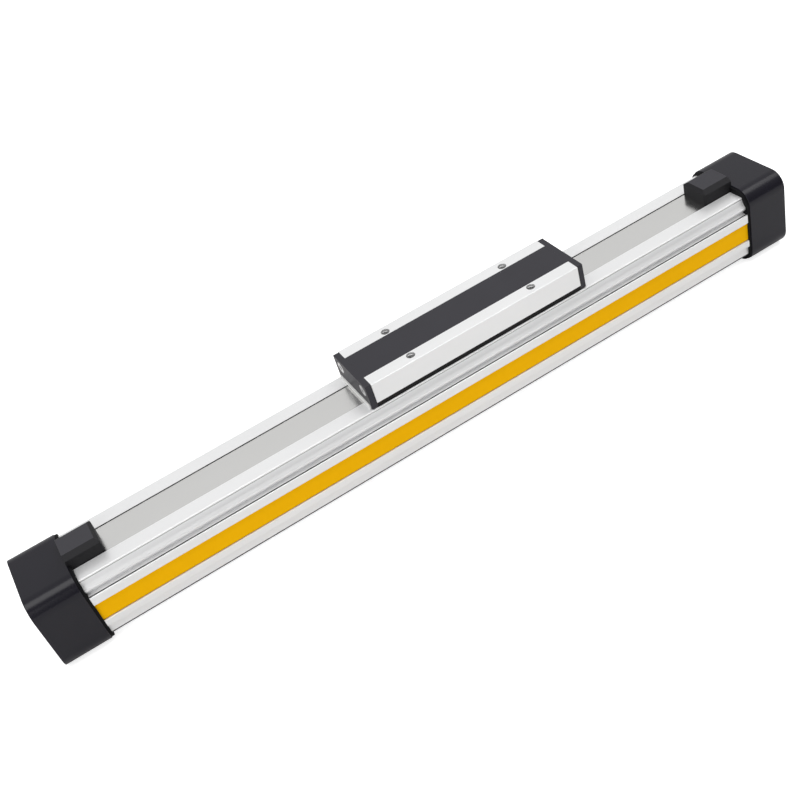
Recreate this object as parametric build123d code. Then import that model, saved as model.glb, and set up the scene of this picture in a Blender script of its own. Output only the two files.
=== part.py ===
from build123d import *

import os
from math import sqrt

# Rodless pneumatic cylinder with a slotted barrel and two sealing bands.
# X runs along the barrel, Y across it, Z up. The origin is on the underside of the two end
# caps, half way along. All sizes are millimetres.

# Travel
stroke = 200.0
carriage_at = 25.0          # the carriage's centre at rest, from the middle of the barrel

# End caps
cap_side = 41.0
cap_length = 22.0
cap_corner = 8.0
cap_edge = 0.3              # rounding of the edges round its two ends
spigot_length = 10.0        # part of the cap that enters the bore
port_r = 4.4                # tapping size of a G1/8 port
port_depth = 12.0
air_passage_r = 2.5
cap_screw_head_r = 4.5
cap_screw_head = 6.0        # height of the head, sunk flush in the cap
cap_screw_r = 2.7
cap_screw_grip = 14.0       # depth of thread in the barrel
mount_thread_r = 2.1        # tapping size of M5, in the heads of the cap screws and in the carriage
mount_thread_depth = 8.0
o_ring_r = 0.85             # radius of the ring's own section
o_ring_groove = 1.8         # depth of its groove below the bore's radius

# Cushioning
boss_r = 4.5                # tube that enters the piston at the end of the stroke
boss_length = 12.0
boss_socket = 6.0
needle_drop = 9.5           # adjusting screw, below the port
needle_r = 2.45
needle_bore_depth = 14.0
needle_tip_r = 0.75
needle_tip = 4.5
bleed_r = 0.9               # drilled passages that the needle throttles
screw_slot = 0.8            # width and depth of a screwdriver slot

# Barrel section
bore_r = 12.5
barrel_inset = 3.0          # the barrel's top and bottom lie this far inside the caps'
lip_inset = 0.5             # and its lips this far inside the caps' sides
top_inset = 3.5             # the other edges of the section, inward from the lips
top_round = 0.5
flank_inset = 1.55
flank_drop = 5.4
flank_round = 1.2
waist_inset = 3.0
waist_drop = 7.8
ledge_drop = 8.8
lip_drop = 8.6
lip_round = 0.4
lip_wall = 0.7              # thickness of the upper lip, at its edge
notch_width = 0.9           # narrow groove between the ledge and the upper lip
notch_depth = 2.0
notch_undercut = 1.2        # it widens under the ledge
notch_shoulder = 0.7
slit_drop = 13.3            # barrel's top to the upper edge of the dovetail groove
slit_height = 10.2
slit_depth = 1.4            # straight mouth of the dovetail groove
dovetail_depth = 3.8
dovetail_flare = 1.7
lower_lip = 3.5
skirt_inset = 1.2
skirt_step = 1.2
foot_inset = 5.2
foot_rise = 3.0
keel_half = 6.0             # shallow relief along the underside
keel_depth = 0.8
slot_half = 3.2             # slot that the yoke's neck runs in
core_r = 2.75               # cores that take the cap screws
core_wall = 1.25            # metal between a core and the barrel's top

# Bands
band_half = 8.2
band_t = 0.4
band_recess = 0.4           # the outer band lies this far below the barrel's top
recess_gap = 0.25           # open line between the band's edge and the barrel
magnet_t = 1.0              # magnetic strips under the outer band
inner_band_half = 5.5
inner_band_t = 0.4
inner_dip = 6.0             # how far the inner band dips to pass through the yoke
band_bend = 30.0            # radius of the outer band where it lifts off and lies down
inner_bend = 25.0

# Side strips
strip_back = 0.7            # the strip's face lies this far inside the lips' edge round the groove
strip_gap = 0.1
strip_edge_gap = 0.35       # open line above and below the strip's face
strip_foot_gap = 0.3        # clearance of the strip's flared edges

# Band clamps
clamp_length = 16.4
clamp_end_gap = 2.6         # left between a wiper and a clamp at the end of the stroke
clamp_height = 7.7          # above the band
clamp_shoulder = 5.9        # height of the side walls
clamp_top_half = 5.5
clamp_top_inset = 1.5       # the top face lies this far inside the end nearer the carriage
clamp_corner = 1.2
clamp_wall = 1.4
clamp_plate_t = 1.8
clamp_screw_r = 1.45
clamp_screw_head_r = 2.7
clamp_screw_head = 2.0
clamp_screw_socket_r = 1.25
clamp_screw_pitch = 7.0

# Carriage
carriage_length = 117.0
end_plate_t = 3.0
body_height = 10.5
body_clear = 2.8            # barrel's top to the underside of the carriage's side walls
wall_t = 2.7
cover_half = 9.4
cover_t = 3.0
cover_skin = 1.4
cover_ribs = 5
mount_pitch_x = 65.0
mount_pitch_y = 24.0
carriage_thread_depth = 7.5
rail_round = 0.5            # rounding of the rails' outer edges
plate_margin = 0.5          # the end plates are this much narrower on each side
plate_clear = 0.2           # above the barrel
plate_corner = 0.6
plate_foot = 1.3            # width of the feet on each side of the wiper
arch_height = 2.2
plate_screw_y = 11.0
plate_screw_drop = 4.7
plate_screw_r = 1.45
plate_screw_head_r = 2.8
plate_screw_head = 1.5
plate_screw_socket_r = 1.3
plate_screw_length = 12.0
slide_margin = 0.6          # the slide strips' faces lie this far inside the carriage's
slide_gap = 0.05
tongue_t = 1.0
tongue_height = 1.2
wiper_out = 0.5
wiper_t = 3.0
wiper_gap = 0.1
wiper_tongue = 2.4          # height of the tongue held behind the plate
wiper_shoulder = 1.0
guide_gap = 0.3
guide_end_gap = 5.5         # from the yoke's flange to a band guide

# Yoke between the pistons and the carriage
neck_half_length = 14.0
neck_half = 2.8
yoke_gap = 0.5              # from the bore
yoke_half_length = 37.0
yoke_stub_r = 7.0
flange_half_length = 20.0
flange_land = 4.8           # bearing width on each side of the band's channel
flange_side_gap = 0.3
flange_t = 4.0
flange_clear = 0.6
channel_half = 8.8          # channel for the band under the carriage
channel_above = 1.5
outer_ramp = 22.0
inner_flat = 16.0
inner_ramp = 16.0
tunnel_half = 6.0
tunnel_gap = 0.5
yoke_screw_x = 13.0
yoke_screw_edge = 0.3       # from a screw's head to the flange's edge
yoke_screw_r = 1.2
yoke_screw_head_r = 2.3
yoke_screw_depth = 5.2

# Pistons
piston_gap = 0.25           # from the bore
piston_end_gap = 0.5        # left between a piston and a cap at the end of the stroke
magnet_ring_t = 4.0
magnet_ring_gap = 0.7       # from the bore
cushion_bore_r = 5.0
piston_web = 3.0
piston_screw_r = 2.5
piston_screw_head_r = 4.2
piston_screw_head = 4.5
cushion_end_gap = 1.5       # left between the screw and the cushion tube
piston_screw_grip = 12.0
seal_gap = 0.08             # seals and wear rings to the bore
seal_width = 3.6
seal_depth = 2.35
seal_from_inner_end = 2.0
wear_width = 6.0
wear_depth = 1.2
wear_from_outer_end = 4.0
cushion_seal_width = 2.5
cushion_seal_gap = 0.1
cushion_seal_depth = 1.5

fit_gap = 0.05              # clearance of what is pushed or screwed into a hole
thread_gap = 0.2            # left free at the bottom of a threaded hole

# Places that follow from the driving sizes
end_allowance = carriage_length / 2 + wiper_out + clamp_end_gap + clamp_length + cap_length
cap_face = stroke / 2 + end_allowance
barrel_end = cap_face - cap_length
spigot_end = barrel_end - spigot_length
axis_z = cap_side / 2
barrel_top = cap_side - barrel_inset
barrel_bottom = barrel_inset
lip_half = cap_side / 2 - lip_inset
cap_screw_pitch = barrel_top - barrel_bottom - 2 * (core_r + core_wall)
band_top = barrel_top - band_recess
band_bottom = band_top - band_t
recess_floor = band_bottom - magnet_t
recess_half = band_half + recess_gap
slit_top = barrel_top - slit_drop
slit_bottom = slit_top - slit_height
flange_bottom = barrel_top + flange_clear
flange_top = flange_bottom + flange_t
outer_rise = flange_top + guide_gap - band_bottom
channel_top = flange_top + guide_gap + band_t + channel_above
body_bottom = barrel_top + body_clear
body_top = body_bottom + body_height
cover_floor = body_top - cover_t
plate_x = carriage_length / 2
body_end = plate_x - end_plate_t
flange_half = channel_half + flange_land
skirt_inner = flange_half + flange_side_gap
body_half = skirt_inner + wall_t
slide_half = body_half - slide_margin
plate_half = body_half - plate_margin
arch_half = plate_half - plate_foot
yoke_screw_y = flange_half - yoke_screw_edge - yoke_screw_head_r
yoke_r = bore_r - yoke_gap
inner_band_top = axis_z + bore_r + inner_band_t
inner_band_floor = axis_z + sqrt(bore_r**2 - inner_band_half**2)
tunnel_floor = inner_band_floor - inner_dip - tunnel_gap
tunnel_ceiling = inner_band_top - inner_dip + tunnel_gap
needle_z = axis_z - needle_drop
o_ring_seat = bore_r - o_ring_groove
piston_inner = yoke_half_length + magnet_ring_t
piston_outer = spigot_end - stroke / 2 - piston_end_gap
cushion_floor = piston_outer + piston_end_gap - boss_length - cushion_end_gap - piston_screw_head
stub_end = cushion_floor - piston_web


def box(x0, x1, y0, y1, z0, z1):
    """A block between two corners."""
    return Pos((x0 + x1) / 2, (y0 + y1) / 2, (z0 + z1) / 2) * Box(x1 - x0, y1 - y0, z1 - z0)


def along_x(section, x0, x1):
    """A section drawn in Y and Z, drawn out from x0 to x1."""
    return extrude(Plane.YZ.offset(x0) * section, amount=x1 - x0)


def rod_x(radius, x0, x1, y=0.0, z=None):
    """A round bar along X, on the bore's axis unless it is placed elsewhere."""
    height = axis_z if z is None else z
    return along_x(Pos(y, height) * Circle(radius), x0, x1)


def rod_z(radius, z0, z1, x, y):
    """An upright round bar."""
    return extrude(Plane.XY.offset(z0) * Pos(x, y) * Circle(radius), amount=z1 - z0)


def ring_x(outer, inner, x0, x1):
    """A flat-sided ring on the bore's axis."""
    return along_x(Pos(0, axis_z) * (Circle(outer) - Circle(inner)), x0, x1)


def mirrored(points):
    """A closed outline from the points of its right half, listed from top to bottom."""
    left = [(-y, z) for y, z in reversed(points)]
    return make_face(Polyline(*points, *left, close=True))


def round_corners(face, places, radius):
    """The face with the named corners, and their mirror images, rounded."""
    picked = [
        v for v in face.vertices()
        if any(abs(abs(v.X) - y) < 0.01 and abs(v.Y - z) < 0.01 for y, z in places)
    ]
    return fillet(picked, radius)


def turned(shape):
    """The same piece used at the other end, turned half round about the vertical."""
    return Rot(0, 0, 180) * shape


def on_carriage(shape):
    """A piece drawn about the carriage's own centre, moved to where the carriage stands."""
    return Pos(carriage_at, 0, 0) * shape


def group(shapes):
    """Separate like solids that share one node."""
    return Compound([solid for shape in shapes for solid in shape.solids()])


def barrel():
    """Extruded aluminium barrel: bore, slot, band recess, dovetail grooves and screw cores."""
    lip_z = barrel_top - lip_drop
    ledge_z = barrel_top - ledge_drop
    notch_half = lip_half - lip_wall - notch_width
    half = [
        (recess_half, recess_floor),
        (recess_half, barrel_top),
        (lip_half - top_inset, barrel_top),
        (lip_half - flank_inset, barrel_top - flank_drop),
        (lip_half - waist_inset, barrel_top - waist_drop),
        (lip_half - waist_inset, ledge_z),
        (notch_half, ledge_z),
        (notch_half - notch_undercut, ledge_z - notch_shoulder),
        (notch_half - notch_undercut, ledge_z - notch_depth),
        (lip_half - lip_wall, ledge_z - notch_depth),
        (lip_half - lip_wall, lip_z),
        (lip_half, lip_z),
        (lip_half, slit_top),
        (lip_half - slit_depth, slit_top),
        (lip_half - dovetail_depth, slit_top + dovetail_flare),
        (lip_half - dovetail_depth, slit_bottom - dovetail_flare),
        (lip_half - slit_depth, slit_bottom),
        (lip_half, slit_bottom),
        (lip_half, slit_bottom - lower_lip),
        (lip_half - skirt_inset, slit_bottom - lower_lip - skirt_step),
        (lip_half - skirt_inset, barrel_bottom + foot_rise),
        (lip_half - foot_inset, barrel_bottom),
        (keel_half, barrel_bottom),
        (keel_half, barrel_bottom + keel_depth),
    ]
    section = mirrored(half)
    lips = [(lip_half, z) for z in (lip_z, slit_top, slit_bottom, slit_bottom - lower_lip)]
    section = round_corners(section, lips, lip_round)
    section = round_corners(section, [(lip_half - flank_inset, barrel_top - flank_drop)],
                            flank_round)
    section = round_corners(section, [(lip_half - top_inset, barrel_top)], top_round)
    section -= Pos(0, axis_z) * Circle(bore_r)
    slot_height = recess_floor - axis_z
    section -= Pos(0, axis_z + slot_height / 2) * Rectangle(2 * slot_half, slot_height)
    seat = Pos(0, axis_z) * Circle(bore_r + inner_band_t + fit_gap)
    seat &= Pos(0, axis_z + bore_r) * Rectangle(2 * (inner_band_half + fit_gap), bore_r)
    section -= seat
    for y in (-1, 1):
        for z in (-1, 1):
            section -= Pos(y * cap_screw_pitch / 2, axis_z + z * cap_screw_pitch / 2) * Circle(core_r)
    return along_x(section, -barrel_end, barrel_end)


def band_line(level, rise, flat, ramp, bend, centre, end):
    """A band's line seen from the side: flat, over or under the yoke, and flat again."""
    points = [
        (-end, 0, level),
        (centre - flat - ramp, 0, level),
        (centre - flat, 0, level + rise),
        (centre + flat, 0, level + rise),
        (centre + flat + ramp, 0, level),
        (end, 0, level),
    ]
    return FilletPolyline(*points, radius=bend)


def clamp_screw_places():
    """Where the two screws of the right-hand band clamp stand, along X."""
    middle = barrel_end - clamp_length / 2
    return [middle - clamp_screw_pitch / 2, middle + clamp_screw_pitch / 2]


def outer_band():
    """Steel strip that covers the slot and passes over the yoke's flange."""
    level = (band_top + band_bottom) / 2
    line = band_line(level, outer_rise, flange_half_length, outer_ramp, band_bend,
                     carriage_at, barrel_end)
    section = Plane.YZ.offset(-barrel_end) * Pos(0, level) * Rectangle(2 * band_half, band_t)
    strip = sweep(section, path=line)
    for x in clamp_screw_places():
        hole = rod_z(clamp_screw_r + fit_gap, band_bottom, band_top, x, 0)
        strip -= hole
        strip -= turned(hole)
    return strip


def inner_band():
    """Curved steel strip that seals the slot from inside and dips through the yoke."""
    level = axis_z + bore_r + inner_band_t / 2
    line = band_line(level, -inner_dip, inner_flat, inner_ramp, inner_bend,
                     carriage_at, barrel_end)
    arch = Circle(bore_r + inner_band_t) - Circle(bore_r)
    arch &= Pos(0, bore_r) * Rectangle(2 * inner_band_half, bore_r)
    section = Plane.YZ.offset(-barrel_end) * Pos(0, axis_z) * arch
    return sweep(section, path=line)


def magnet_strips():
    """Pair of magnetic strips that hold the outer band down."""
    inner = slot_half + 2 * fit_gap
    strip = box(-barrel_end, barrel_end, inner, band_half, recess_floor, band_bottom)
    return group([strip, mirror(strip, about=Plane.XZ)])


def side_strip():
    """Plastic strip in the barrel's dovetail groove, on the +Y side."""
    mid = (slit_top + slit_bottom) / 2
    mouth = slit_height / 2 - strip_edge_gap
    foot = slit_height / 2 + dovetail_flare - strip_foot_gap
    face = lip_half - strip_back - strip_gap
    neck = lip_half - slit_depth - strip_gap
    floor = lip_half - dovetail_depth + strip_gap
    outline = Polyline(
        (face, mid - mouth), (face, mid + mouth), (neck, mid + mouth), (floor, mid + foot),
        (floor, mid - foot), (neck, mid - mouth), close=True,
    )
    return along_x(make_face(outline), -barrel_end, barrel_end)


def end_cap():
    """Right-hand end cap with its spigot, port, screw holes and cushion passages."""
    section = Pos(0, axis_z) * RectangleRounded(cap_side, cap_side, cap_corner)
    cap = along_x(section, barrel_end, cap_face)
    ends = cap.faces().sort_by(Axis.X)
    cap = fillet(ends[0].edges() + ends[-1].edges(), cap_edge)
    cap += rod_x(bore_r - fit_gap, spigot_end, barrel_end)
    cap -= rod_x(port_r, cap_face - port_depth, cap_face)
    cap -= rod_x(air_passage_r, spigot_end, cap_face - port_depth)
    cap -= rod_x(boss_r + fit_gap, spigot_end, spigot_end + boss_socket)
    groove_x = spigot_end + spigot_length / 2
    half_groove = o_ring_r + fit_gap
    cap -= ring_x(bore_r, o_ring_seat, groove_x - half_groove, groove_x + half_groove)
    needle_floor = cap_face - needle_bore_depth
    cap -= rod_x(needle_r + fit_gap, needle_floor, cap_face, z=needle_z)
    cap -= rod_x(bleed_r, spigot_end, needle_floor, z=needle_z)
    cap -= rod_z(bleed_r, needle_z, axis_z, needle_floor + bleed_r, 0)
    for y in (-1, 1):
        for z in (-1, 1):
            place = {"y": y * cap_screw_pitch / 2, "z": axis_z + z * cap_screw_pitch / 2}
            cap -= rod_x(cap_screw_head_r + fit_gap, cap_face - cap_screw_head, cap_face, **place)
            cap -= rod_x(cap_screw_r + fit_gap, barrel_end, cap_face - cap_screw_head, **place)
    return cap


def cap_screws():
    """Four right-hand cap screws whose heads carry the mounting threads."""
    screws = []
    for y in (-1, 1):
        for z in (-1, 1):
            place = {"y": y * cap_screw_pitch / 2, "z": axis_z + z * cap_screw_pitch / 2}
            screw = rod_x(cap_screw_head_r, cap_face - cap_screw_head, cap_face, **place)
            screw += rod_x(cap_screw_r, barrel_end - cap_screw_grip, cap_face - cap_screw_head,
                           **place)
            screw -= rod_x(mount_thread_r, cap_face - mount_thread_depth, cap_face, **place)
            screws.append(screw)
    return group(screws)


def cap_o_ring():
    """O-ring between the right-hand cap's spigot and the bore."""
    centre_r = o_ring_seat + o_ring_r + fit_gap
    x = spigot_end + spigot_length / 2
    return Pos(x, 0, axis_z) * Rot(0, 90, 0) * Torus(centre_r, o_ring_r)


def cushion_boss():
    """Right-hand cushion tube, pressed into the cap."""
    return ring_x(boss_r, air_passage_r, spigot_end - boss_length, spigot_end + boss_socket)


def cushion_screw():
    """Right-hand adjusting screw with its throttling tip."""
    floor = cap_face - needle_bore_depth
    head = cap_face - screw_slot
    screw = rod_x(needle_r, floor + 2 * bleed_r, head, z=needle_z)
    screw += rod_x(needle_tip_r, floor - needle_tip, floor + 2 * bleed_r, z=needle_z)
    slot = box(head - screw_slot, head, -needle_r, needle_r,
               needle_z - screw_slot / 2, needle_z + screw_slot / 2)
    return screw - slot


def band_clamp_cover():
    """Moulded cover over the right-hand band clamp."""
    half = [
        (clamp_top_half, band_top + clamp_height),
        (band_half, band_top + clamp_shoulder),
        (band_half, band_top),
    ]
    start = barrel_end - clamp_length
    cover = along_x(mirrored(half), start, barrel_end)
    slope = Polyline((start, 0, band_top + clamp_shoulder), (start, 0, band_top + clamp_height),
                     (start + clamp_top_inset, 0, band_top + clamp_height), close=True)
    cover -= extrude(make_face(slope), amount=band_half, both=True)
    corners = cover.edges().filter_by(Axis.Z).group_by(Axis.X)[0]
    cover = fillet(corners, clamp_corner)
    inside = band_half - clamp_wall
    cover -= box(start + clamp_wall, barrel_end - clamp_wall, -inside, inside,
                 band_top, band_top + clamp_shoulder - clamp_wall)
    return cover


def band_clamp_plate():
    """Steel plate that holds the outer band down under the cover."""
    inside = band_half - clamp_wall - fit_gap
    start = barrel_end - clamp_length + clamp_wall + fit_gap
    plate = box(start, barrel_end - clamp_wall - fit_gap, -inside, inside,
                band_top, band_top + clamp_plate_t)
    for x in clamp_screw_places():
        plate -= rod_z(clamp_screw_r + fit_gap, band_top, band_top + clamp_plate_t, x, 0)
    return plate


def band_clamp_wedge():
    """Block in the slot between the two bands, threaded for the clamp screws."""
    start = barrel_end - clamp_length + clamp_wall
    wedge = box(start, barrel_end, -(slot_half - fit_gap), slot_half - fit_gap,
                inner_band_top + fit_gap, band_bottom)
    for x in clamp_screw_places():
        wedge -= rod_z(clamp_screw_r + fit_gap, inner_band_top, band_bottom, x, 0)
    return wedge


def band_clamp_screws():
    """Two screws of the right-hand band clamp."""
    seat = band_top + clamp_plate_t
    tip = inner_band_top + thread_gap
    screws = []
    for x in clamp_screw_places():
        screw = rod_z(clamp_screw_head_r, seat, seat + clamp_screw_head, x, 0)
        screw += rod_z(clamp_screw_r, tip, seat, x, 0)
        socket = Plane.XY.offset(seat + clamp_screw_head / 2) * Pos(x, 0)
        screw -= extrude(socket * RegularPolygon(clamp_screw_socket_r, 6),
                         amount=clamp_screw_head)
        screws.append(screw)
    return group(screws)


def mount_hole_places():
    """Centres of the four threaded holes in the carriage, about its own centre."""
    return [(x * mount_pitch_x / 2, y * mount_pitch_y / 2) for x in (-1, 1) for y in (-1, 1)]


def yoke_screw_places():
    """Centres of the four screws that hold the carriage to the yoke."""
    return [(x * yoke_screw_x, y * yoke_screw_y) for x in (-1, 1) for y in (-1, 1)]


def plate_screw_z():
    """Height of the end-plate screws."""
    return body_top - plate_screw_drop


def carriage_body():
    """Extruded carriage with two rails on top and a channel for the band below."""
    half = [
        (cover_half + fit_gap, cover_floor),
        (cover_half + fit_gap, body_top),
        (body_half, body_top),
        (body_half, body_bottom),
        (skirt_inner, body_bottom),
        (skirt_inner, flange_top),
        (channel_half, flange_top),
        (channel_half, channel_top),
    ]
    section = mirrored(half)
    section = round_corners(section, [(body_half, body_top)], rail_round)
    tongue_y = (skirt_inner + slide_half) / 2
    groove = Rectangle(tongue_t + 2 * fit_gap, 2 * tongue_height + 2 * fit_gap)
    section -= Pos(tongue_y, body_bottom) * groove
    section -= Pos(-tongue_y, body_bottom) * groove
    body = along_x(section, -body_end, body_end)
    for x, y in mount_hole_places():
        body -= rod_z(mount_thread_r, body_top - carriage_thread_depth, body_top, x, y)
    for x, y in yoke_screw_places():
        body -= rod_z(yoke_screw_r + fit_gap, flange_top, flange_top + yoke_screw_depth, x, y)
    for end in (-1, 1):
        for y in (-plate_screw_y, plate_screw_y):
            inner = end * (plate_x - plate_screw_length)
            x0, x1 = sorted((inner, end * body_end))
            body -= rod_x(plate_screw_r + fit_gap, x0, x1, y=y, z=plate_screw_z())
    return body


def carriage_cover():
    """Moulded strip between the rails, hollow and ribbed underneath."""
    cover = box(-body_end, body_end, -cover_half, cover_half, cover_floor, body_top)
    pitch = (2 * body_end - cover_skin) / (cover_ribs + 1)
    for i in range(cover_ribs + 1):
        x0 = -body_end + cover_skin + i * pitch
        inside = cover_half - cover_skin
        cover -= box(x0, x0 + pitch - cover_skin, -inside, inside,
                     cover_floor, body_top - cover_skin)
    return cover


def end_plate():
    """Moulded right-hand end plate of the carriage, arched over the wiper."""
    bottom = barrel_top + plate_clear
    section = Pos(0, (body_top + bottom) / 2) * Rectangle(2 * plate_half, body_top - bottom)
    section = round_corners(section, [(plate_half, body_top), (plate_half, bottom)], plate_corner)
    section -= Pos(0, barrel_top) * Rectangle(2 * arch_half, 2 * arch_height)
    plate = along_x(section, body_end, plate_x)
    pocket = arch_half - wiper_shoulder
    plate -= box(body_end, plate_x - end_plate_t / 2, -pocket, pocket,
                 barrel_top + arch_height, barrel_top + arch_height + wiper_tongue)
    for y in (-plate_screw_y, plate_screw_y):
        seat = plate_x - plate_screw_head - fit_gap
        plate -= rod_x(plate_screw_head_r + fit_gap, seat, plate_x, y=y, z=plate_screw_z())
        plate -= rod_x(plate_screw_r + fit_gap, body_end, plate_x, y=y, z=plate_screw_z())
    return plate


def end_plate_screws():
    """Two screws of the right-hand end plate."""
    seat = plate_x - plate_screw_head - fit_gap
    screws = []
    for y in (-plate_screw_y, plate_screw_y):
        screw = rod_x(plate_screw_head_r, seat, seat + plate_screw_head, y=y, z=plate_screw_z())
        screw += rod_x(plate_screw_r, plate_x - plate_screw_length + thread_gap, seat, y=y,
                       z=plate_screw_z())
        socket = Pos(y, plate_screw_z()) * RegularPolygon(plate_screw_socket_r, 6)
        screw -= along_x(socket, seat + plate_screw_head / 2, plate_x)
        screws.append(screw)
    return group(screws)


def wiper():
    """Right-hand wiper under the end plate, with a tongue held behind it."""
    low = barrel_top + wiper_gap
    high = barrel_top + arch_height
    outer = plate_x + wiper_out
    inner = plate_x - end_plate_t / 2
    blade = arch_half - 2 * fit_gap
    strip = box(outer - wiper_t, outer, -blade, blade, low, high)
    dip = band_half - wiper_gap
    strip += box(outer - wiper_t, outer, -dip, dip, band_top + wiper_gap, low)
    tongue = arch_half - wiper_shoulder - fit_gap
    strip += box(body_end + fit_gap, inner, -tongue, tongue, low, high + wiper_tongue - fit_gap)
    return strip


def slide_strip():
    """Plastic slide strip under the carriage's side wall, on the +Y side."""
    low = barrel_top + slide_gap
    strip = box(-body_end, body_end, skirt_inner, slide_half, low, body_bottom)
    tongue_y = (skirt_inner + slide_half) / 2
    strip += box(-body_end, body_end, tongue_y - tongue_t / 2, tongue_y + tongue_t / 2,
                 body_bottom, body_bottom + tongue_height)
    return strip


def band_guide():
    """Right-hand plastic guide that presses the outer band back into its recess."""
    start = flange_half_length + guide_end_gap
    block = box(start, body_end, -(channel_half - fit_gap), channel_half - fit_gap,
                barrel_top, channel_top)
    dip = band_half - wiper_gap
    block += box(start, body_end, -dip, dip, band_top, barrel_top)
    level = band_top + guide_gap
    line = band_line(level, outer_rise, flange_half_length, outer_ramp, band_bend, 0, plate_x)
    left, right = line.position_at(0), line.position_at(1)
    floor = band_top - outer_rise
    closing = Polyline(right, (right.X, 0, floor), (left.X, 0, floor), left)
    below = make_face(line.edges() + closing.edges())
    return block - extrude(below, amount=body_half, both=True)


def piston_yoke():
    """Bar between the pistons, with the neck and flange that carry the carriage."""
    bar = rod_x(yoke_r, -yoke_half_length, yoke_half_length)
    above = box(neck_half_length, yoke_half_length, -yoke_r, yoke_r, tunnel_floor,
                axis_z + yoke_r)
    bar -= above
    bar -= turned(above)
    bar += box(-neck_half_length, neck_half_length, -neck_half, neck_half, axis_z, flange_bottom)
    bar -= box(-neck_half_length, neck_half_length, -tunnel_half, tunnel_half, tunnel_floor,
               tunnel_ceiling)
    bar += box(-flange_half_length, flange_half_length, -flange_half, flange_half, flange_bottom,
               flange_top)
    for end in (-1, 1):
        x0, x1 = sorted((end * yoke_half_length, end * stub_end))
        bar += rod_x(yoke_stub_r, x0, x1)
        x0, x1 = sorted((end * (stub_end - piston_screw_grip), end * stub_end))
        bar -= rod_x(piston_screw_r + fit_gap, x0, x1)
    for x, y in yoke_screw_places():
        bar -= rod_z(yoke_screw_r + fit_gap, flange_bottom, flange_top, x, y)
        sink = yoke_screw_head_r - yoke_screw_r
        bar -= Pos(x, y, flange_bottom + sink / 2) * Cone(
            yoke_screw_head_r + fit_gap, yoke_screw_r + fit_gap, sink)
    return bar


def yoke_screws():
    """Four countersunk screws from below the flange into the carriage."""
    screws = []
    sink = yoke_screw_head_r - yoke_screw_r
    for x, y in yoke_screw_places():
        screw = rod_z(yoke_screw_r, flange_bottom, flange_top + yoke_screw_depth - thread_gap, x, y)
        screw += Pos(x, y, flange_bottom + sink / 2) * Cone(yoke_screw_head_r, yoke_screw_r, sink)
        screws.append(screw)
    return group(screws)


def seal_start():
    """Inner side of the piston seal, from the carriage's centre."""
    return piston_inner + seal_from_inner_end


def wear_end():
    """Outer side of the wear ring, from the carriage's centre."""
    return piston_outer - wear_from_outer_end


def piston():
    """Right-hand piston: grooves for its rings and a bore for the cushion tube."""
    body = rod_x(bore_r - piston_gap, piston_inner, piston_outer)
    body -= rod_x(yoke_stub_r + fit_gap, piston_inner, stub_end)
    body -= rod_x(piston_screw_r + fit_gap, stub_end, cushion_floor)
    body -= rod_x(cushion_bore_r, cushion_floor, piston_outer)
    body -= ring_x(bore_r, bore_r - seal_gap - seal_depth - fit_gap, seal_start() - fit_gap,
                   seal_start() + seal_width + fit_gap)
    body -= ring_x(bore_r, bore_r - seal_gap - wear_depth - fit_gap,
                   wear_end() - wear_width - fit_gap, wear_end() + fit_gap)
    lip = piston_outer - cushion_seal_width
    body -= rod_x(boss_r + cushion_seal_gap + cushion_seal_depth + fit_gap, lip, piston_outer)
    return body


def piston_seal():
    """Right-hand piston seal with a sealing lip on its pressure side."""
    outer = bore_r - seal_gap
    inner = outer - seal_depth
    x0 = seal_start()
    x1 = x0 + seal_width
    lip = seal_depth / 3
    outline = Polyline(
        (x0, inner), (x1, inner), (x1 - lip, (inner + outer) / 2), (x1, outer),
        (x0 + lip, outer), (x0, outer - lip), close=True,
    )
    face = Plane.XZ * make_face(outline)
    return Pos(0, 0, axis_z) * revolve(face, axis=Axis.X)


def wear_ring():
    """Right-hand plastic wear ring."""
    outer = bore_r - seal_gap
    return ring_x(outer, outer - wear_depth, wear_end() - wear_width, wear_end())


def cushion_seal():
    """Right-hand lip ring that closes on the cushion tube."""
    inner = boss_r + cushion_seal_gap
    return ring_x(inner + cushion_seal_depth, inner, piston_outer - cushion_seal_width,
                  piston_outer)


def piston_magnet():
    """Magnet ring clamped between the yoke and the right-hand piston."""
    return ring_x(bore_r - magnet_ring_gap, yoke_stub_r + fit_gap, yoke_half_length, piston_inner)


def piston_screw():
    """Screw at the bottom of the right-hand cushion bore."""
    screw = rod_x(piston_screw_head_r, cushion_floor, cushion_floor + piston_screw_head)
    tip = stub_end - piston_screw_grip + thread_gap
    screw += rod_x(piston_screw_r, tip, cushion_floor)
    socket = Pos(0, axis_z) * RegularPolygon(piston_screw_r, 6)
    screw -= along_x(socket, cushion_floor + piston_screw_head / 2,
                     cushion_floor + piston_screw_head)
    return screw


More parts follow.
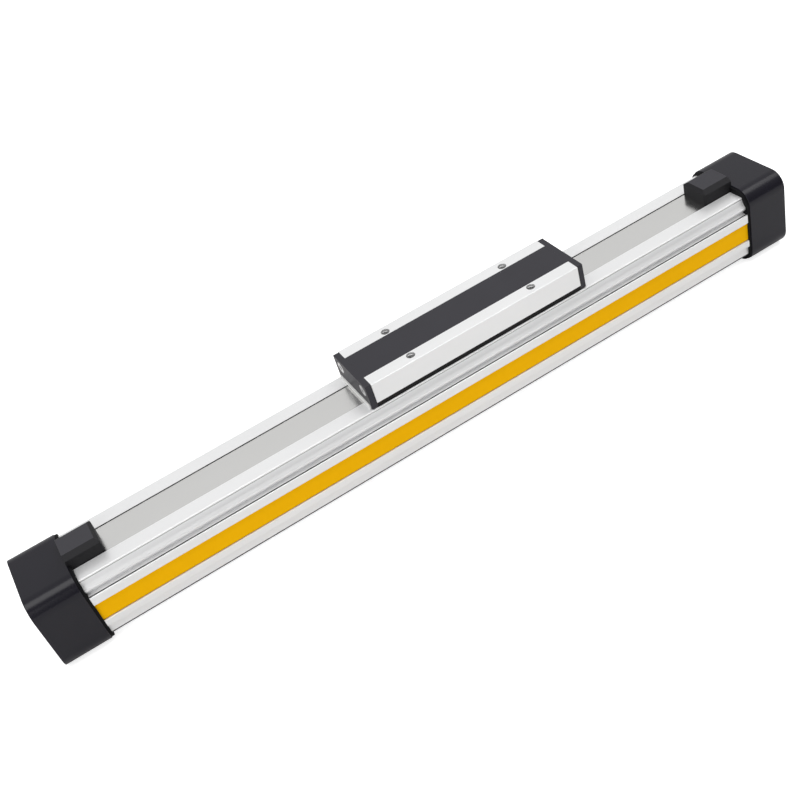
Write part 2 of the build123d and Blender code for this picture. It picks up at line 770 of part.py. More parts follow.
def pieces():
    """Every piece of the cylinder by name."""
    made = {
        "barrel": barrel(),
        "outer_band": outer_band(),
        "inner_band": inner_band(),
        "magnet_strips": magnet_strips(),
        "side_strip_back": side_strip(),
        "side_strip_front": mirror(side_strip(), about=Plane.XZ),
        "carriage_body": on_carriage(carriage_body()),
        "carriage_cover": on_carriage(carriage_cover()),
        "slide_strip_back": on_carriage(slide_strip()),
        "slide_strip_front": on_carriage(mirror(slide_strip(), about=Plane.XZ)),
        "piston_yoke": on_carriage(piston_yoke()),
        "yoke_screws": on_carriage(yoke_screws()),
    }
    at_cap = {
        "end_cap": end_cap,
        "cap_screws": cap_screws,
        "cap_o_ring": cap_o_ring,
        "cushion_boss": cushion_boss,
        "cushion_screw": cushion_screw,
        "band_clamp_cover": band_clamp_cover,
        "band_clamp_plate": band_clamp_plate,
        "band_clamp_wedge": band_clamp_wedge,
        "band_clamp_screws": band_clamp_screws,
    }
    for name, make in at_cap.items():
        shape = make()
        made[name + "_right"] = shape
        made[name + "_left"] = turned(shape)
    at_carriage_end = {
        "end_plate": end_plate,
        "end_plate_screws": end_plate_screws,
        "wiper": wiper,
        "band_guide": band_guide,
        "piston": piston,
        "piston_seal": piston_seal,
        "wear_ring": wear_ring,
        "cushion_seal": cushion_seal,
    }
    for name, make in at_carriage_end.items():
        shape = make()
        made[name + "_right"] = on_carriage(shape)
        made[name + "_left"] = on_carriage(turned(shape))
    for name, make in {"piston_magnets": piston_magnet, "piston_screws": piston_screw}.items():
        shape = make()
        made[name] = on_carriage(group([shape, turned(shape)]))
    return made


os.makedirs("parts", exist_ok=True)
for name, shape in pieces().items():
    export_step(shape, f"parts/{name}.step")
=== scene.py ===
import math

import bpy
from mathutils import Matrix, Vector


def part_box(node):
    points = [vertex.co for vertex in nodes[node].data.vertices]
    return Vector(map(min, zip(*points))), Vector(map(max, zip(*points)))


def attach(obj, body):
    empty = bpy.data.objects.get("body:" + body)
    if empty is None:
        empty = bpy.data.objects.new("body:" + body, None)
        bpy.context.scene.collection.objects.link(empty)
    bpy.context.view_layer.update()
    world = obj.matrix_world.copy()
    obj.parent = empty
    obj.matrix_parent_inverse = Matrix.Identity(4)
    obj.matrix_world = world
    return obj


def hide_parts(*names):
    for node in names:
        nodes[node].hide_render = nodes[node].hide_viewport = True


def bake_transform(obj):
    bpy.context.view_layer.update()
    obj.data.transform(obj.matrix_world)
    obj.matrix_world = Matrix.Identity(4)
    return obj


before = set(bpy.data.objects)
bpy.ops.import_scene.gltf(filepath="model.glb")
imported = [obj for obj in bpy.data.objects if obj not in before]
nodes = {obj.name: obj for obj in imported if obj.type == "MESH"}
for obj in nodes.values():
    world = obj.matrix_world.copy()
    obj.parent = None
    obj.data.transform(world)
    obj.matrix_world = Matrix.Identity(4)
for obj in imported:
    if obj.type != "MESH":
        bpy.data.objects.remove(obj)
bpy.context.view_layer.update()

# The floor. A plain matt pale board that the cylinder stands on. Only the camera sees its
# added glow, so it turns white without throwing more light on the cylinder.
white = (1, 1, 1, 1)
floor_half = 6.0
floor_drop = 0.0001
floor_colour = (0.80, 0.80, 0.80, 1.0)
floor_roughness = 0.9
floor_glow = 0.72

bpy.ops.object.select_all(action="DESELECT")
bpy.ops.mesh.primitive_plane_add(size=2 * floor_half, location=(0, 0, -floor_drop))
floor = bpy.context.object
floor.name = "floor"
bpy.ops.object.transform_apply(location=True, rotation=True, scale=True)
floor_paint = bpy.data.materials.new("floor_paint")
floor_paint.use_nodes = True
surface = floor_paint.node_tree.nodes["Principled BSDF"]
surface.inputs["Base Color"].default_value = floor_colour
surface.inputs["Roughness"].default_value = floor_roughness
surface.inputs["Emission Color"].default_value = white
rays = floor_paint.node_tree.nodes.new("ShaderNodeLightPath")
glow = floor_paint.node_tree.nodes.new("ShaderNodeMath")
glow.operation = "MULTIPLY"
glow.inputs[1].default_value = floor_glow
floor_paint.node_tree.links.new(rays.outputs["Is Camera Ray"], glow.inputs[0])
floor_paint.node_tree.links.new(glow.outputs[0], surface.inputs["Emission Strength"])
floor.data.materials.append(floor_paint)

# The sky. An even white room, open towards the camera, where it is darker. The camera itself
# sees it as plain white.
sky_strength = 0.74
sky_front_strength = 0.20
sky_front_from = -0.82
sky_front_to = -0.18
sky_seen_strength = 1.0

sky = bpy.data.worlds.new("sky")
sky.use_nodes = True
bpy.context.scene.world = sky
tree = sky.node_tree
even = tree.nodes["Background"]
even.inputs["Color"].default_value = white
towards = tree.nodes.new("ShaderNodeTexCoord")
parts = tree.nodes.new("ShaderNodeSeparateXYZ")
front = tree.nodes.new("ShaderNodeMapRange")
front.inputs["From Min"].default_value = sky_front_from
front.inputs["From Max"].default_value = sky_front_to
front.inputs["To Min"].default_value = sky_front_strength
front.inputs["To Max"].default_value = sky_strength
tree.links.new(towards.outputs["Generated"], parts.inputs[0])
tree.links.new(parts.outputs["Y"], front.inputs["Value"])
tree.links.new(front.outputs["Result"], even.inputs["Strength"])
seen = tree.nodes.new("ShaderNodeBackground")
seen.inputs["Color"].default_value = white
seen.inputs["Strength"].default_value = sky_seen_strength
choice = tree.nodes.new("ShaderNodeMixShader")
rays = tree.nodes.new("ShaderNodeLightPath")
tree.links.new(rays.outputs["Is Camera Ray"], choice.inputs[0])
tree.links.new(even.outputs[0], choice.inputs[1])
tree.links.new(seen.outputs[0], choice.inputs[2])
tree.links.new(choice.outputs[0], tree.nodes["World Output"].inputs["Surface"])

# The lamps. A long soft lamp overhead, which the rounded edges reflect as a line of light, and
# a square one at the left in front, which lights the long front side.
overhead_place = Vector((0.26, -0.27, 1.42))
overhead_length = 1.9
overhead_width = 0.80
overhead_energy = 11.5
left_place = Vector((-0.95, -1.25, 0.62))
left_aim = Vector((0, 0, 0.03))
left_size = 1.1
left_energy = 5.8


def softbox(name, place, length, width, energy, aim=None):
    """A soft lamp that shines straight down, or at a point where one is given."""
    lamp_data = bpy.data.lights.new(name, "AREA")
    lamp_data.shape = "RECTANGLE"
    lamp_data.size = length
    lamp_data.size_y = width
    lamp_data.energy = energy
    lamp = bpy.data.objects.new(name, lamp_data)
    bpy.context.scene.collection.objects.link(lamp)
    lamp.location = place
    if aim:
        lamp.rotation_euler = (aim - place).to_track_quat("-Z", "Y").to_euler()


softbox("overhead", overhead_place, overhead_length, overhead_width, overhead_energy)
softbox("left_front", left_place, left_size, left_size, left_energy, left_aim)

# The camera. Its place, direction and lens were worked out from the edges of the barrel, the
# caps and the carriage in the photograph.
sensor = 36.0
lens = 50.40
nearest = 0.01
farthest = 50.0
camera_place = Vector((-0.134598, -0.384442, 0.351754))
camera_right = Vector((0.842191, -0.477242, -0.250908))
camera_up = Vector((0.487941, 0.476608, 0.731271))
camera_back = Vector((-0.229408, -0.738298, 0.634261))
camera_data = bpy.data.cameras.new("camera")
camera_data.sensor_width = sensor
camera_data.lens = lens
camera_data.clip_start = nearest
camera_data.clip_end = farthest
camera = bpy.data.objects.new("camera", camera_data)
bpy.context.scene.collection.objects.link(camera)
turn = Matrix((camera_right, camera_up, camera_back)).transposed()
camera.matrix_world = Matrix.Translation(camera_place) @ turn.to_4x4()
bpy.context.scene.camera = camera
bpy.context.scene.view_settings.view_transform = "Standard"

# The barrel. An extrusion in silver anodised aluminium, cut square at both ends. Faint lines
# from the die run along it, its many edges are slightly soft, and painted shade darkens its
# grooves. Its flanks are drawn here with the fine hollow and the flared edge of the real section.
barrel_dark = (0.875, 0.877, 0.880)
barrel_light = (0.905, 0.907, 0.910)
anodised_roughness = (0.34, 0.44)
anodised_metallic = 0.5
die_line_depth = 0.000004
anodised_edge = 0.00015
pattern_low = 0.3
pattern_high = 0.7
edge_samples = 4
join_reach = 0.000001

# Painted shade darkens a point whose open share lies under the upper limit, and fully under the
# lower one.
groove_shade_colour = (0.03, 0.03, 0.03)
groove_reach = 0.0018
shade_full = 0.20
shade_end = 0.34
shade_samples = 8

# The flanks are cut along each flank line, given by its depth under the top, and moved outward
# there by the second value. A point belongs to a height when it lies within level_play of it.
barrel_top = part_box("barrel")[1].z
barrel_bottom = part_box("barrel")[0].z
outer_side = 0.0164
level_play = 0.00002
flank_lines = (
    (0.0008, -0.00024),
    (0.0028, -0.00036),
    (0.0037, -0.00009),
    (0.0042, 0.00026),
    (0.0046, 0.00045),
)
flare_from = 0.0048
flare_to = 0.0061
flare_out = 0.00035
flank_smooth = math.radians(20)
foot_level = barrel_bottom + 0.0030
foot_drop = 0.0005
ledge_level = barrel_top - 0.0088
ledge_corner = (0.0169, 0.0171)
ledge_lift = 0.0005

# Thin lines of painted shade along both sides. Each has its middle in Y and Z and its reach from
# there.
crease_middle = (0.0166, barrel_top - 0.00084)
crease_reach = (0.0003, 0.00018)
crease_shade_colour = (0.42, 0.42, 0.42)
recess_middle = (0.00833, barrel_top - 0.0010)
recess_reach = (0.00017, 0.00090)
notch_middle = (0.01745, barrel_top - 0.0102)
notch_reach = (0.00185, 0.00135)
notch_shade_colour = (0.09, 0.09, 0.09)
foot_middle = (0.0188, barrel_bottom + 0.0028)
foot_reach = (0.0004, 0.00036)


def new_finish(name):
    """A node material with its surface shader."""
    finish = bpy.data.materials.new(name)
    finish.use_nodes = True
    return finish, finish.node_tree.nodes["Principled BSDF"]


def place_pattern(finish, stretch=(1, 1, 1)):
    """Coordinates on the object, in metres, scaled along its axes."""
    tree = finish.node_tree
    where = tree.nodes.new("ShaderNodeTexCoord")
    mapping = tree.nodes.new("ShaderNodeMapping")
    mapping.inputs["Scale"].default_value = stretch
    tree.links.new(where.outputs["Object"], mapping.inputs["Vector"])
    return mapping.outputs["Vector"]


def cloudy(finish, vector, scale, detail=3.0):
    """A noise pattern on those coordinates."""
    tree = finish.node_tree
    noise = tree.nodes.new("ShaderNodeTexNoise")
    noise.inputs["Scale"].default_value = scale
    noise.inputs["Detail"].default_value = detail
    tree.links.new(vector, noise.inputs["Vector"])
    return noise.outputs["Fac"]


def spread(finish, pattern, low, high):
    """The pattern turned into a value between two limits."""
    tree = finish.node_tree
    span = tree.nodes.new("ShaderNodeMapRange")
    span.inputs["From Min"].default_value = pattern_low
    span.inputs["From Max"].default_value = pattern_high
    span.inputs["To Min"].default_value = low
    span.inputs["To Max"].default_value = high
    tree.links.new(pattern, span.inputs["Value"])
    return span.outputs["Result"]


def tint(finish, pattern, dark, light):
    """The pattern turned into a colour between two others."""
    tree = finish.node_tree
    ramp = tree.nodes.new("ShaderNodeValToRGB")
    first, last = ramp.color_ramp.elements
    first.position = pattern_low
    first.color = (*dark, 1)
    last.position = pattern_high
    last.color = (*light, 1)
    tree.links.new(pattern, ramp.inputs["Fac"])
    return ramp.outputs["Color"]


def relief(finish, pattern, depth, soft_edge=None):
    """A bump of the pattern, over edges rounded by a small radius where one is given."""
    tree = finish.node_tree
    bump = tree.nodes.new("ShaderNodeBump")
    bump.inputs["Distance"].default_value = depth
    tree.links.new(pattern, bump.inputs["Height"])
    if soft_edge:
        bevel = tree.nodes.new("ShaderNodeBevel")
        bevel.samples = edge_samples
        bevel.inputs["Radius"].default_value = soft_edge
        tree.links.new(bevel.outputs["Normal"], bump.inputs["Normal"])
    tree.links.new(bump.outputs["Normal"], tree.nodes["Principled BSDF"].inputs["Normal"])


def line_along(finish, middle, reach):
    """1 in a long box on each side of the object, given by its place and reach in Y and Z."""
    tree = finish.node_tree
    where = tree.nodes.new("ShaderNodeTexCoord")
    parts = tree.nodes.new("ShaderNodeSeparateXYZ")
    side = tree.nodes.new("ShaderNodeMath")
    side.operation = "ABSOLUTE"
    tree.links.new(where.outputs["Object"], parts.inputs[0])
    tree.links.new(parts.outputs["Y"], side.inputs[0])
    inside = []
    for value, place, half in zip((side.outputs[0], parts.outputs["Z"]), middle, reach):
        near = tree.nodes.new("ShaderNodeMath")
        near.operation = "COMPARE"
        near.inputs[1].default_value = place
        near.inputs[2].default_value = half
        tree.links.new(value, near.inputs[0])
        inside.append(near.outputs[0])
    both = tree.nodes.new("ShaderNodeMath")
    both.operation = "MULTIPLY"
    tree.links.new(inside[0], both.inputs[0])
    tree.links.new(inside[1], both.inputs[1])
    return both.outputs[0]


def dark_line(finish, colour, middle, reach, dark):
    """The colour, turned into a darker one in a line along the object, as painted shade."""
    tree = finish.node_tree
    blend = tree.nodes.new("ShaderNodeMixRGB")
    blend.inputs["Color2"].default_value = (*dark, 1)
    tree.links.new(line_along(finish, middle, reach), blend.inputs["Fac"])
    tree.links.new(colour, blend.inputs["Color1"])
    return blend.outputs["Color"]


def painted_groove_shade(finish, colour, shade_colour, reach):
    """The colour, turned into a darker one as painted shade where walls stand close around a
    point.
    """
    tree = finish.node_tree
    depth = tree.nodes.new("ShaderNodeAmbientOcclusion")
    depth.samples = shade_samples
    depth.inputs["Distance"].default_value = reach
    open_part = tree.nodes.new("ShaderNodeMapRange")
    open_part.inputs["From Min"].default_value = shade_full
    open_part.inputs["From Max"].default_value = shade_end
    tree.links.new(depth.outputs["AO"], open_part.inputs["Value"])
    blend = tree.nodes.new("ShaderNodeMixRGB")
    blend.inputs["Color1"].default_value = (*shade_colour, 1)
    tree.links.new(open_part.outputs["Result"], blend.inputs["Fac"])
    tree.links.new(colour, blend.inputs["Color2"])
    return blend.outputs["Color"]


def dress(finish, *names):
    """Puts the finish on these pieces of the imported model."""
    for name in names:
        nodes[name].data.materials.clear()
        nodes[name].data.materials.append(finish)


def extruded_aluminium(name, dark, light, lines_along=()):
    """Anodised extrusion with fine lines from the die along X, painted shade in its crevices, and
    the dark lines of painted shade given.
    """
    finish, shader = new_finish(name)
    links = finish.node_tree.links
    lines = cloudy(finish, place_pattern(finish, (0.01, 1, 1)), scale=2600.0, detail=4.0)
    cloud = cloudy(finish, place_pattern(finish, (0.3, 1, 1)), scale=60.0)
    colour = tint(finish, cloud, dark, light)
    colour = painted_groove_shade(finish, colour, groove_shade_colour, groove_reach)
    for middle, reach, shade in lines_along:
        colour = dark_line(finish, colour, middle, reach, shade)
    links.new(colour, shader.inputs["Base Color"])
    links.new(spread(finish, lines, *anodised_roughness), shader.inputs["Roughness"])
    shader.inputs["Metallic"].default_value = anodised_metallic
    relief(finish, lines, die_line_depth, anodised_edge)
    return finish


def joined_copy(node, name):
    """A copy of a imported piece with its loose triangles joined, selected on its own."""
    piece = bpy.data.objects.new(name, nodes[node].data.copy())
    bpy.context.scene.collection.objects.link(piece)
    bpy.ops.object.select_all(action="DESELECT")
    piece.select_set(True)
    bpy.context.view_layer.objects.active = piece
    bpy.ops.object.mode_set(mode="EDIT")
    bpy.ops.mesh.select_mode(type="VERT")
    bpy.ops.mesh.select_all(action="SELECT")
    bpy.ops.mesh.remove_doubles(threshold=join_reach)
    bpy.ops.object.mode_set(mode="OBJECT")
    return piece


def pick_sides(piece, low, high, inner=outer_side, outer=math.inf):
    """Selects the outer sides' points between two heights and gives their largest Y."""
    bpy.ops.object.mode_set(mode="EDIT")
    bpy.ops.mesh.select_all(action="DESELECT")
    bpy.ops.object.mode_set(mode="OBJECT")
    side = 0
    for point in piece.data.vertices:
        point.select = low < point.co.z < high and inner < abs(point.co.y) < outer
        if point.select:
            side = max(side, abs(point.co.y))
    bpy.ops.object.mode_set(mode="EDIT")
    return side


def widen(piece, low, high, outward):
    """Moves the outer sides between two heights outward, the same on both sides."""
    side = pick_sides(piece, low, high)
    bpy.ops.transform.resize(value=(1, 1 + outward / side, 1), center_override=(0, 0, 0))
    bpy.ops.object.mode_set(mode="OBJECT")


def lift(piece, level, up, *across):
    """Moves the outer sides' points at one height up, or down where up is negative."""
    pick_sides(piece, level - level_play, level + level_play, *across)
    bpy.ops.transform.translate(value=(0, 0, up))
    bpy.ops.object.mode_set(mode="OBJECT")


extrusion = joined_copy("barrel", "barrel_extrusion")
bpy.ops.object.mode_set(mode="EDIT")
for drop, _ in flank_lines:
    bpy.ops.mesh.select_all(action="SELECT")
    bpy.ops.mesh.bisect(plane_co=(0, 0, barrel_top - drop), plane_no=(0, 0, 1))
bpy.ops.object.mode_set(mode="OBJECT")
for drop, outward in flank_lines:
    level = barrel_top - drop
    widen(extrusion, level - level_play, level + level_play, outward)
widen(extrusion, barrel_top - flare_to, barrel_top - flare_from, flare_out)
lift(extrusion, ledge_level, ledge_lift, *ledge_corner)
lift(extrusion, foot_level, -foot_drop)
if extrusion.data.has_custom_normals:
    bpy.ops.mesh.customdata_custom_splitnormals_clear()
bpy.ops.object.shade_smooth_by_angle(angle=flank_smooth)
# Lines of painted shade: in the notch, at the foot, along the band's recess and in the crease.
barrel_shade_lines = (
    (notch_middle, notch_reach, notch_shade_colour),
    (foot_middle, foot_reach, groove_shade_colour),
    (recess_middle, recess_reach, groove_shade_colour),
    (crease_middle, crease_reach, crease_shade_colour),
)
barrel_skin = extruded_aluminium("barrel_skin", barrel_dark, barrel_light, barrel_shade_lines)
extrusion.data.materials.clear()
extrusion.data.materials.append(barrel_skin)
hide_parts("barrel")
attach(extrusion, "cylinder")

# The side strips. Yellow plastic, extruded and slid into the barrel's dovetail grooves. They
# have an even satin face with a very faint grain.
plastic_play = 0.04
yellow_dark = (0.97, 0.500, 0.0006)
yellow_light = (0.99, 0.515, 0.0010)


def moulded(name, dark, light, roughness, shine=0.5, grain=5200.0, depth=0.000006, edge=0.0002):
    """Plastic or paint with a fine even grain."""
    finish, shader = new_finish(name)
    links = finish.node_tree.links
    grains = cloudy(finish, place_pattern(finish), scale=grain, detail=2.0)
    cloud = cloudy(finish, place_pattern(finish), scale=45.0)
    dullness = spread(finish, grains, roughness - plastic_play, roughness + plastic_play)
    links.new(tint(finish, cloud, dark, light), shader.inputs["Base Color"])
    links.new(dullness, shader.inputs["Roughness"])
    shader.inputs["Specular IOR Level"].default_value = shine
    relief(finish, grains, depth, edge)
    return finish


yellow_skin = moulded("yellow_skin", yellow_dark, yellow_light, roughness=0.5, shine=0.03,
                      depth=0.000003, edge=0.0001)
dress(yellow_skin, "side_strip_front", "side_strip_back")

# The magnetic strips. Black magnetic rubber, laid in the recess on each side of the slot
# under the outer band.
rubber_dark = (0.012, 0.012, 0.012)
rubber_light = (0.016, 0.016, 0.016)
rubber_skin = moulded("rubber_skin", rubber_dark, rubber_light, roughness=0.65)
dress(rubber_skin, "magnet_strips")

# The outer band. A rolled steel strip that is clamped at both ends and passes over the yoke
# inside the carriage. It is made as two halves, which part at the carriage's middle.
band_dark = (0.785, 0.782, 0.770)
band_light = (0.815, 0.812, 0.800)
band_roughness = 0.17
band_play = 0.08
band_line_depth = 0.000002
edge_smooth = math.radians(30)
carriage_low, carriage_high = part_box("carriage_body")
carriage_middle = (carriage_low.x + carriage_high.x) / 2


def halves(node, finish):
    """A band's node copied as two halves that part at the carriage's middle."""
    made = []
    for side, name in ((-1, node + "_left_half"), (1, node + "_right_half")):
        half = joined_copy(node, name)
        bpy.ops.object.mode_set(mode="EDIT")
        bpy.ops.mesh.select_all(action="SELECT")
        bpy.ops.mesh.bisect(
            plane_co=(carriage_middle, 0, 0),
            plane_no=(side, 0, 0),
            clear_inner=True,
            use_fill=True,
        )
        bpy.ops.object.mode_set(mode="OBJECT")
        bpy.ops.object.shade_smooth_by_angle(angle=edge_smooth)
        half.data.materials.clear()
        half.data.materials.append(finish)
        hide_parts(node)
        made.append(half)
    return made


def stretch_between(left, right):
    """Bakes each half's place into its points."""
    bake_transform(left)
    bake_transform(right)


def rolled_steel(name, dark, light, roughness):
    """Strip steel with the fine lines of the rolls along X."""
    finish, shader = new_finish(name)
    links = finish.node_tree.links
    lines = cloudy(finish, place_pattern(finish, (0.004, 1, 1)), scale=3200.0, detail=5.0)
    cloud = cloudy(finish, place_pattern(finish, (0.2, 1, 1)), scale=40.0)
    links.new(tint(finish, cloud, dark, light), shader.inputs["Base Color"])
    links.new(spread(finish, lines, roughness, roughness + band_play), shader.inputs["Roughness"])
    shader.inputs["Metallic"].default_value = 1.0
    relief(finish, lines, band_line_depth)
    return finish


band_skin = rolled_steel("band_skin", band_dark, band_light, band_roughness)
stretch_between(*halves("outer_band", band_skin))

# The inner band. The same steel rolled to a shallow arch. It closes the slot from inside and
# dips through the yoke.
stretch_between(*halves("inner_band", band_skin))

# The end caps. Die-cast aluminium in black powder paint, machined at the spigot and port. The
# port's pipe thread is a fine ridge along its wall.
port_pitch = 0.000907
port_turns = 10
port_depth = 0.012
port_r = 0.0044

# A thread ridge is a wound triangle. Its radius is a share of the pitch, and its middle stands
# off the wall by a share of that radius, which leaves its foot just sunk in the wall.
ridge_share = 0.30
ridge_out = 0.45
ridge_steps = 24
cap_dark = (0.0060, 0.0054, 0.0105)
cap_light = (0.0076, 0.0068, 0.0125)
cap_skin = moulded("cap_skin", cap_dark, cap_light, roughness=0.23, shine=0.33)
dress(cap_skin, "end_cap_left", "end_cap_right")


def thread(name, radius, pitch, turns, finish, body):
    """A thread ridge that winds up a hole's wall, from the floor of the hole at the origin."""
    size = ridge_share * pitch
    bpy.ops.object.select_all(action="DESELECT")
    bpy.ops.mesh.primitive_circle_add(
        vertices=3, radius=size, fill_type="NOTHING",
        location=(radius - ridge_out * size, 0, 0), rotation=(math.pi / 2, -math.pi / 2, 0),
    )
    ridge = bpy.context.object
    ridge.name = name
    bpy.ops.object.transform_apply(location=True, rotation=True, scale=True)
    winding = ridge.modifiers.new("winding", "SCREW")
    winding.axis = "Z"
    winding.screw_offset = pitch
    winding.iterations = turns
    winding.steps = ridge_steps
    winding.render_steps = ridge_steps
    winding.use_smooth_shade = False
    bpy.ops.object.modifier_apply(modifier=winding.name)
    bpy.ops.object.mode_set(mode="EDIT")
    bpy.ops.mesh.select_all(action="SELECT")
    bpy.ops.mesh.fill_holes(sides=3)
    bpy.ops.mesh.select_all(action="SELECT")
    bpy.ops.mesh.normals_make_consistent(inside=False)
    bpy.ops.object.mode_set(mode="OBJECT")
    bpy.ops.object.shade_smooth_by_angle(angle=edge_smooth)
    ridge.data.materials.append(finish)
    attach(ridge, body)
    return ridge


def set_in(ridge, where, along=None):
    """Moves a ridge to its hole; along is 1 or -1 where the hole opens to +X or -X."""
    bpy.ops.object.select_all(action="DESELECT")
    ridge.select_set(True)
    bpy.context.view_layer.objects.active = ridge
    if along:
        ridge.rotation_euler = (0, along * math.pi / 2, 0)
    ridge.location = where
    bpy.ops.object.transform_apply(location=True, rotation=True, scale=True)


cap_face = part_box("end_cap_right")[1].x
axis_z = (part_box("end_cap_right")[0].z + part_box("end_cap_right")[1].z) / 2
for side, end in (("left", -1), ("right", 1)):
    port_thread = thread("port_thread_" + side, port_r, port_pitch, port_turns, cap_skin,
                         "cylinder")
    floor_x = cap_face - port_depth + port_pitch
    set_in(port_thread, (end * floor_x, 0, axis_z), end)

# The cap gaskets. Black rubber plates, punched from sheet, which the caps press on the ends
# of the barrel. They show as a thin black edge.
gasket_thick = 0.00125
gasket_inset = 0.0004
gasket_corner = 0.0076
gasket_corner_steps = 10
gasket_dark = (0.0040, 0.0040, 0.0050)
gasket_light = (0.0050, 0.0050, 0.0060)
gasket_skin = moulded("gasket_skin", gasket_dark, gasket_light, roughness=0.6, shine=0.1)
cap_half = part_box("end_cap_right")[1].y
barrel_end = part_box("barrel")[1].x
for side, end in (("left", -1), ("right", 1)):
    bpy.ops.object.select_all(action="DESELECT")
    width = 2 * (cap_half - gasket_inset)
    middle = end * (barrel_end - gasket_thick / 2)
    bpy.ops.mesh.primitive_cube_add(size=1, location=(middle, 0, axis_z),
                                    scale=(gasket_thick, width, width))
    gasket = bpy.context.object
    gasket.name = "cap_gasket_" + side
    bpy.ops.object.transform_apply(location=True, rotation=True, scale=True)
    bpy.ops.object.mode_set(mode="EDIT")
    bpy.ops.mesh.select_mode(type="EDGE")
    bpy.ops.mesh.select_all(action="DESELECT")
    bpy.ops.object.mode_set(mode="OBJECT")
    for edge in gasket.data.edges:
        first, last = (gasket.data.vertices[i].co for i in edge.vertices)
        edge.select = abs(first.x - last.x) > gasket_thick / 2
    bpy.ops.object.mode_set(mode="EDIT")
    bpy.ops.mesh.bevel(offset=gasket_corner, segments=gasket_corner_steps)
    bpy.ops.mesh.select_mode(type="VERT")
    bpy.ops.object.mode_set(mode="OBJECT")
    bpy.ops.object.shade_smooth_by_angle(angle=edge_smooth)
    gasket.data.materials.append(gasket_skin)
    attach(gasket, "cylinder")

# The cap screws. Turned steel, plated, with round heads sunk flush in the caps. A mounting
# thread is cut in each head.
mount_r = 0.0021
mount_pitch = 0.0008
mount_turns = 8
screw_pitch = 0.027
head_thread_depth = 0.008
metal_play = 0.05
metal_grain_depth = 0.000003
metal_edge = 0.0001
screw_dark = (0.66, 0.66, 0.67)
screw_light = (0.74, 0.74, 0.75)


def machined(name, dark, light, roughness, metallic=0.9):
    """Machined or plated metal with a fine even texture."""
    finish, shader = new_finish(name)
    links = finish.node_tree.links
    grains = cloudy(finish, place_pattern(finish), scale=3800.0)
    dullness = spread(finish, grains, roughness - metal_play, roughness + metal_play)
    links.new(tint(finish, grains, dark, light), shader.inputs["Base Color"])
    links.new(dullness, shader.inputs["Roughness"])
    shader.inputs["Metallic"].default_value = metallic
    relief(finish, grains, metal_grain_depth, metal_edge)
    return finish


screw_skin = machined("screw_skin", screw_dark, screw_light, roughness=0.26)
dress(screw_skin, "cap_screws_left", "cap_screws_right")
for side, end in (("left", -1), ("right", 1)):
    for y, y_name in ((-screw_pitch / 2, "front"), (screw_pitch / 2, "back")):
        for z, z_name in ((-screw_pitch / 2, "low"), (screw_pitch / 2, "top")):
            head_thread = thread(f"head_thread_{side}_{y_name}_{z_name}", mount_r, mount_pitch,
                                 mount_turns, screw_skin, "cylinder")
            floor_x = cap_face - head_thread_depth + mount_pitch
            set_in(head_thread, (end * floor_x, y, axis_z + z), end)

# The cap O-rings. Black nitrile rubber, moulded, in a groove round each spigot.
dress(rubber_skin, "cap_o_ring_left", "cap_o_ring_right")

# The cushion tubes. Bright turned aluminium, pressed into the caps and led into the pistons
# at the end of each stroke.
turned_dark = (0.74, 0.74, 0.76)
turned_light = (0.80, 0.80, 0.82)
turned_skin = machined("turned_skin", turned_dark, turned_light, roughness=0.30)
dress(turned_skin, "cushion_boss_left", "cushion_boss_right")

# The cushion screws. Turned brass with a slot across the head, screwed into the caps below
# the ports.
brass_dark = (0.62, 0.44, 0.20)
brass_light = (0.70, 0.52, 0.26)
brass_skin = machined("brass_skin", brass_dark, brass_light, roughness=0.28)
dress(brass_skin, "cushion_screw_left", "cushion_screw_right")

# The band clamps. A black plastic cover snaps over a steel plate. Two screws go through the
# plate into a wedge in the slot, and clamp the outer band. The cover is painted lighter on top
# and darker on its slopes and sides, as painted light and shade.
clamp_shaded_side = (0.0105, 0.0102, 0.0118)
clamp_shaded_slope = (0.0150, 0.0146, 0.0168)
clamp_lit_top = (0.0460, 0.0448, 0.0520)
facing_steps = (0.30, 0.85, 0.98)


def painted_top_light(finish, side, slope, top):
    """The base colour painted lighter where the surface faces up, as painted light, and darker on
    the sides, as painted shade.
    """
    tree = finish.node_tree
    facing = tree.nodes.new("ShaderNodeTexCoord")
    height = tree.nodes.new("ShaderNodeSeparateXYZ")
    ramp = tree.nodes.new("ShaderNodeValToRGB")
    stops = ramp.color_ramp.elements
    stops.new(facing_steps[1])
    for stop, place, colour in zip(stops, facing_steps, (side, slope, top)):
        stop.position = place
        stop.color = (*colour, 1)
    tree.links.new(facing.outputs["Normal"], height.inputs[0])
    tree.links.new(height.outputs["Z"], ramp.inputs["Fac"])
    shader = tree.nodes["Principled BSDF"]
    tree.links.new(ramp.outputs["Color"], shader.inputs["Base Color"])


clamp_skin = moulded("clamp_skin", clamp_shaded_side, clamp_shaded_side, roughness=0.60, shine=0.22)
painted_top_light(clamp_skin, clamp_shaded_side, clamp_shaded_slope, clamp_lit_top)
dress(clamp_skin, "band_clamp_cover_left", "band_clamp_cover_right")
dress(band_skin, "band_clamp_plate_left", "band_clamp_plate_right")
dress(turned_skin, "band_clamp_wedge_left", "band_clamp_wedge_right")
dress(screw_skin, "band_clamp_screws_left", "band_clamp_screws_right")

# The carriage body. A lighter anodised extrusion with two rails on top. Four threaded holes
# are drilled and tapped in the rails.
hole_depth = 0.0075
hole_floor_z = carriage_high.z - hole_depth
hole_x = 0.0325
hole_y = 0.012
carriage_dark = (0.885, 0.887, 0.890)
carriage_light = (0.915, 0.917, 0.920)
carriage_skin = extruded_aluminium("carriage_skin", carriage_dark, carriage_light)
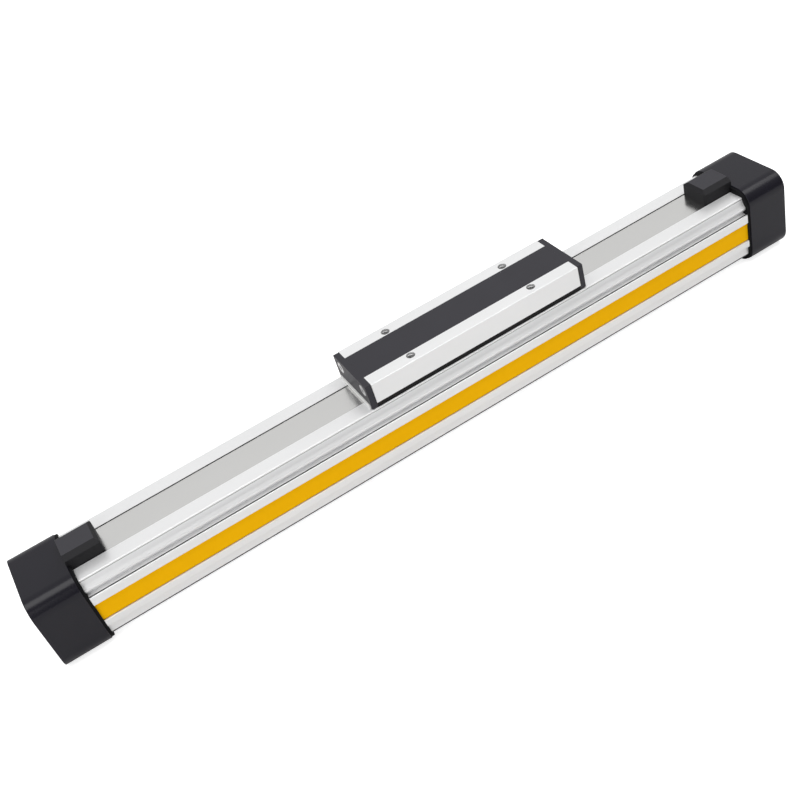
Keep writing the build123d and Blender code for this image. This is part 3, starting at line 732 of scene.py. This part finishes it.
# The thread ridges in the holes are painted darker than turned metal, as painted shade in the
# holes.
tapped_shaded_dark = (0.26, 0.26, 0.26)
tapped_shaded_light = (0.36, 0.36, 0.36)
tapped_skin = machined("tapped_skin", tapped_shaded_dark, tapped_shaded_light, roughness=0.30)
dress(carriage_skin, "carriage_body")
for x, x_name in ((-hole_x, "left"), (hole_x, "right")):
    for y, y_name in ((-hole_y, "front"), (hole_y, "back")):
        hole_thread = thread(f"mount_thread_{x_name}_{y_name}", mount_r, mount_pitch,
                             mount_turns, tapped_skin, "carriage")
        set_in(hole_thread, (carriage_middle + x, y, hole_floor_z + mount_pitch / 2))

# The carriage cover. A black plastic moulding pressed in between the rails, with a fine
# satin grain.
cover_dark = (0.0360, 0.0347, 0.0412)
cover_light = (0.0388, 0.0375, 0.0448)
cover_skin = moulded("cover_skin", cover_dark, cover_light, roughness=0.40, shine=0.18)
dress(cover_skin, "carriage_cover")

# The end plates. The same black plastic, screwed to both ends of the carriage with two
# plated screws each.
dress(cover_skin, "end_plate_left", "end_plate_right")
dress(screw_skin, "end_plate_screws_left", "end_plate_screws_right")

# The wipers. Pale plastic blades held behind the end plates, which keep the band clean.
wiper_dark = (0.80, 0.80, 0.79)
wiper_light = (0.86, 0.86, 0.85)
wiper_skin = moulded("wiper_skin", wiper_dark, wiper_light, roughness=0.5, shine=0.3)
dress(wiper_skin, "wiper_left", "wiper_right")

# The slide strips and band guides. Black plastic with a dull surface. The strips run along
# the barrel's top under the carriage, and the guides press the band back into its recess.
# Black plastic, with its black painted darker than the cover's, as painted shade.
slide_shaded_dark = (0.0120, 0.0120, 0.0122)
slide_shaded_light = (0.0150, 0.0150, 0.0152)
slide_skin = moulded("slide_skin", slide_shaded_dark, slide_shaded_light, roughness=0.5, shine=0.1)
dress(slide_skin, "slide_strip_front", "slide_strip_back", "band_guide_left", "band_guide_right")

# The yoke and its screws. Machined aluminium, with a neck through the slot and a flange that
# four countersunk screws hold to the carriage.
dress(turned_skin, "piston_yoke")
dress(screw_skin, "yoke_screws")

# The pistons. Turned aluminium, each held to the yoke by a socket screw with a magnet ring
# between. They carry a rubber seal, a plastic wear ring and a cushion seal.
magnet_dark = (0.20, 0.20, 0.21)
magnet_light = (0.26, 0.26, 0.27)
wear_dark = (0.10, 0.085, 0.07)
wear_light = (0.13, 0.11, 0.09)
magnet_skin = machined("magnet_skin", magnet_dark, magnet_light, roughness=0.45)
wear_skin = moulded("wear_skin", wear_dark, wear_light, roughness=0.5)
dress(turned_skin, "piston_left", "piston_right")
dress(screw_skin, "piston_screws")
dress(magnet_skin, "piston_magnets")
dress(wear_skin, "wear_ring_left", "wear_ring_right")
dress(rubber_skin, "piston_seal_left", "piston_seal_right", "cushion_seal_left",
      "cushion_seal_right")
